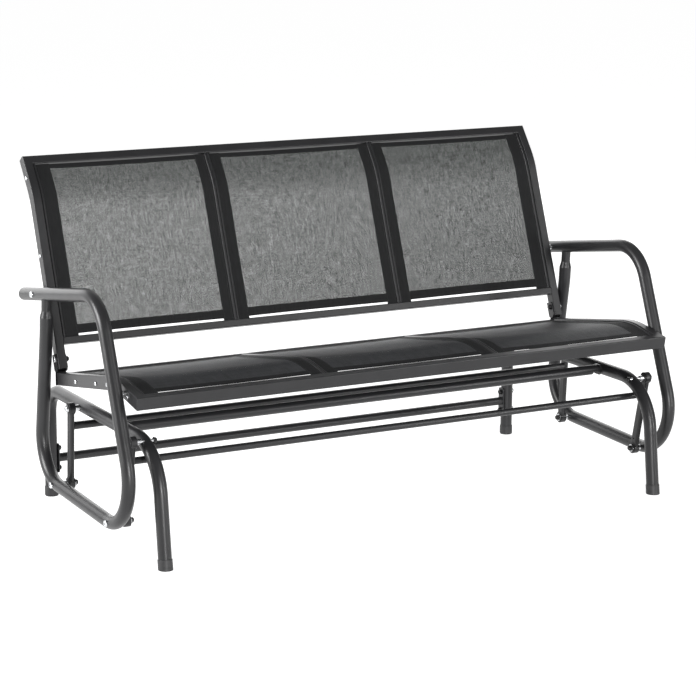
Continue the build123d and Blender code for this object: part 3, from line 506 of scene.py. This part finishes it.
bead_gap = 3.8 * mm
cloth_thickness = 0.6 * mm
hem_layer = 0.45 * mm
rod_wrap = 2.02 * mm
side_hem = {"outer": 38 * mm, "inner": 32 * mm}
end_hem = {"seat": (20 * mm, 20 * mm), "back": (22 * mm, 12 * mm)}
stitch_pitch = 4.2 * mm
stitch_length = 3.2 * mm
thread_radius = 0.3 * mm
stitch_inset = 2.4 * mm
second_row_inset = 7 * mm
end_bow = 1.0 * mm
panel_side_inset = 4.5 * mm
panel_end_inset = 1.5 * mm
hem_edge_press = 0.25 * mm
slot_lay = 0.5 * mm
slot_reach = 4.4 * mm
thin_layer = 0.2 * mm
thin_layer_reach = 3.2 * mm
fold_overlap = 5 * mm


class Sling:
    """One panel between its two beads: where a point of its cloth lies in the row frame."""

    def __init__(self, surface, seat):
        self.surface, self.seat = surface, seat
        self.run = Run(*runs[surface]["line"], **{k: v for k, v in runs[surface].items() if k != "line"})
        low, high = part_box(f"{surface}_sling_{seat}")
        self.low, self.high = low.x - bead_gap, high.x + bead_gap
        self.middle, self.half = (self.low + self.high) / 2, (self.high - self.low) / 2
        self.hems = (
            side_hem["outer" if seat == "left" else "inner"],
            side_hem["outer" if seat == "right" else "inner"],
        )
        self.tabs = runs[surface]["tabs"]
        self.sag = runs[surface]["sag"]

    def ends(self, x):
        """The two ends of the cloth at x, as lengths on the run: each bows inwards between the side hems."""
        across = np.clip(np.abs(x - self.middle) / (self.half - min(self.hems)), 0, 1)
        bow = end_bow * (1 - across ** 2)
        return bow, self.run.length - bow

    def place(self, x, s, h=0.0):
        """Points at x along the bench, s along the run and h out of the cloth, in the row frame.

        The cloth dips by sag times (1 - a^2) times sin(pi s / length)^0.5, with a from -1 to 1 across it.
        """
        x, s, h = np.broadcast_arrays(np.asarray(x, float), np.asarray(s, float), np.asarray(h, float))
        flat, normal = self.run.at(s)
        across = np.clip((x - self.middle) / self.half, -1, 1)
        along = np.clip(s / self.run.length, 0, 1)
        dip = self.sag * (1 - across ** 2) * (0.35 + 0.65 * np.sin(math.pi * along))
        lift = (h - dip)[..., None]
        yz = flat + normal * lift
        return np.concatenate([x[..., None], yz], -1)

    def panel(self):
        """The cloth between its beads: a grid in x and along the run, two faces a thickness apart."""
        x = np.linspace(self.low + panel_side_inset, self.high - panel_side_inset, 61)[None, :]
        share = np.linspace(0, 1, 73)[:, None]
        low_end, high_end = self.ends(x)
        s = low_end + panel_end_inset + share * (high_end - low_end - 2 * panel_end_inset)
        x, s = np.broadcast_arrays(x, s)
        faces = [self.place(x, s, h) for h in (cloth_thickness / 2, -cloth_thickness / 2)]
        points, quads = shell(*faces)
        uv = np.stack([x, s], -1).reshape(-1, 2)
        return points, quads, np.concatenate([uv, uv])

    def sleeve(self, side):
        """A side hem: the cloth's edge folded round the rod and sewn down, from tab to tab.

        Its section is a strip of two layers from the hem's inner edge to the track's slot, and a circle
        round the rod between them. It is carried along the run, and an offset of half a layer to each side
        gives it its faces.
        """
        edge = self.low if side == 0 else self.high
        inwards = 1 if side == 0 else -1
        width = self.hems[side]
        lay = (cloth_thickness + hem_layer) / 2 + 0.02 * mm
        flat = np.linspace(width, slot_reach, 12)
        height = np.full(12, lay)
        height[0] = lay - hem_edge_press
        height[-1] = slot_lay
        open_angle = math.asin(slot_lay / rod_wrap)
        wrap = np.linspace(open_angle, 2 * math.pi - open_angle, 20)
        across = np.concatenate([flat, rod_wrap * np.cos(wrap), flat[::-1]])
        out = np.concatenate([height, rod_wrap * np.sin(wrap), -height[::-1]])
        tangent = np.stack([np.gradient(across), np.gradient(out)])
        tangent /= np.linalg.norm(tangent, axis=0)
        layer = np.where(np.hypot(across, out) < thin_layer_reach, thin_layer, hem_layer)
        offset = np.stack([-tangent[1], tangent[0]]) * layer / 2
        s = np.linspace(-self.tabs[0], self.run.length + self.tabs[1], 97)[:, None]
        faces = []
        for sign in (1, -1):
            x = edge + inwards * (across + sign * offset[0])[None]
            faces.append(self.place(x, s, (out + sign * offset[1])[None]))
        points, quads = shell(*faces)
        x = edge + inwards * np.cumsum(np.hypot(np.gradient(across), np.gradient(out)))[None]
        uv = np.stack(np.broadcast_arrays(x, s), -1).reshape(-1, 2)
        return points, quads, np.concatenate([uv, uv])

    def end_fold(self, which):
        """An end hem: the cloth turned over its end and sewn down, as a U-shaped strip from hem to hem."""
        width = end_hem[self.surface][which]
        lay = (cloth_thickness + hem_layer) / 2 - 0.02 * mm
        flat = np.linspace(width, lay, 9)
        turn = np.linspace(math.pi / 2, 3 * math.pi / 2, 9)[1:-1]
        inset = np.concatenate([flat, lay + lay * np.cos(turn), flat[::-1]])
        out = np.concatenate([np.full(9, lay), lay * np.sin(turn), np.full(9, -lay)])
        tangent = np.stack([np.gradient(inset), np.gradient(out)])
        tangent /= np.linalg.norm(tangent, axis=0)
        offset = np.stack([-tangent[1], tangent[0]]) * hem_layer / 2
        first_x = self.low + self.hems[0] - fold_overlap
        last_x = self.high - self.hems[1] + fold_overlap
        x = np.linspace(first_x, last_x, 61)[:, None]
        low_end, high_end = self.ends(x)
        end, inwards = (low_end, 1) if which == 0 else (high_end, -1)
        faces = [
            self.place(x, end + inwards * (inset + sign * offset[0])[None], (out + sign * offset[1])[None])
            for sign in (1, -1)
        ]
        points, quads = shell(*faces)
        s = end + inwards * np.cumsum(np.hypot(np.gradient(inset), np.gradient(out)))[None]
        uv = np.stack(np.broadcast_arrays(x, s), -1).reshape(-1, 2)
        return points, quads, np.concatenate([uv, uv])

    def seam(self, x, s, face):
        """Stitch centres, directions and outward normals along a line of points on one face of the hems."""
        level = face * (cloth_thickness / 2 + hem_layer + 0.1 * mm)
        centres = self.place(x, s, level)
        along = np.gradient(centres, axis=0)
        along /= np.linalg.norm(along, axis=1)[:, None]
        above = self.place(x, s, level + face * mm) - centres
        above /= np.linalg.norm(above, axis=1)[:, None]
        return centres, along, above

    def seams(self):
        """Rows of stitches: along the inner edge of each side hem and of each end hem, on both faces."""
        rows = []
        whole = np.arange(1 * mm - self.tabs[0], self.run.length + self.tabs[1] - 1 * mm, stitch_pitch)
        for face in (1, -1):
            for edge, sign, width in ((self.low, 1, self.hems[0]), (self.high, -1, self.hems[1])):
                for inset in (stitch_inset, width - second_row_inset):
                    x = np.full(len(whole), edge + sign * (width - inset))
                    rows.append(self.seam(x, whole, face))
            x = np.arange(self.low + self.hems[0] + 2 * mm, self.high - self.hems[1] - 2 * mm, stitch_pitch)
            low_end, high_end = self.ends(x)
            low_hem, high_hem = end_hem[self.surface]
            rows.append(self.seam(x, low_end + low_hem - stitch_inset, face))
            rows.append(self.seam(x, high_end - high_hem + stitch_inset, face))
        centres, along, above = (np.concatenate(part) for part in zip(*rows))
        return capsules(centres, along, above, stitch_length, thread_radius)


def joined(parts):
    """Several closed shells as one mesh: points, faces and UV."""
    points, faces, uv = [], [], []
    shift = 0
    for part_points, part_faces, part_uv in parts:
        points.append(part_points)
        faces += (np.array(part_faces) + shift).tolist()
        uv.append(part_uv)
        shift += len(part_points)
    return np.concatenate(points), faces, np.concatenate(uv)


def make_sling(surface, seat):
    """A sling as three pieces on the swing: its mesh, its sewn hems and their stitches."""
    sling = Sling(surface, seat)
    points, faces, uv = sling.panel()
    cloth = new_piece(f"{surface}_cloth_{seat}", points, faces, mesh_finish[surface], "swing", uv)
    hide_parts(f"{surface}_sling_{seat}")
    points, faces, uv = joined([
        sling.sleeve(0), sling.sleeve(1), sling.end_fold(0), sling.end_fold(1),
    ])
    hems = new_piece(f"{surface}_hems_{seat}", points, faces, hem_finish, "swing", uv)
    points, faces = sling.seams()
    stitches = new_piece(f"{surface}_stitches_{seat}", points, faces, thread_finish, "swing")
    rails = [f"{surface}_side_tracks"] if seat != "centre" else []
    rails += [f"{surface}_mid_rail_{hand}" for hand in ("left", "right") if seat in (hand, "centre")]


for surface in ("seat", "back"):
    for seat in ("left", "centre", "right"):
        make_sling(surface, seat)


# ---------------------------------------------------------------- floor and surroundings
def make_floor():
    """A wide, plain, pale floor that glows a little, as a lit studio sweep does."""
    reach = 30.0
    mesh = bpy.data.meshes.new("floor")
    mesh.from_pydata(
        [(-reach, -reach, 0), (reach, -reach, 0), (reach, reach, 0), (-reach, reach, 0)],
        [],
        [(0, 1, 2, 3)],
    )
    finish = Finish("pale_floor", (0.5, 0.5, 0.5), 0.9)
    finish.surface.inputs["Specular IOR Level"].default_value = 0.0
    finish.surface.inputs["Emission Color"].default_value = (1, 1, 1, 1)
    finish.surface.inputs["Emission Strength"].default_value = 0.85
    mesh.materials.append(finish.material)
    floor = bpy.data.objects.new("floor", mesh)
    scene.collection.objects.link(floor)
    floor.visible_diffuse = False


def make_surroundings():
    """White behind the object, and a dimmer even studio light on it."""
    world = bpy.data.worlds.new("studio")
    world.use_nodes = True
    tree = world.node_tree
    glow = tree.nodes["Background"]
    glow.inputs["Color"].default_value = (1, 1, 1, 1)
    path = tree.nodes.new("ShaderNodeLightPath")
    level = tree.nodes.new("ShaderNodeMapRange")
    level.inputs["To Min"].default_value = 0.28
    level.inputs["To Max"].default_value = 1.0
    tree.links.new(path.outputs["Is Camera Ray"], level.inputs["Value"])
    tree.links.new(level.outputs["Result"], glow.inputs["Strength"])
    scene.world = world


make_floor()
make_surroundings()
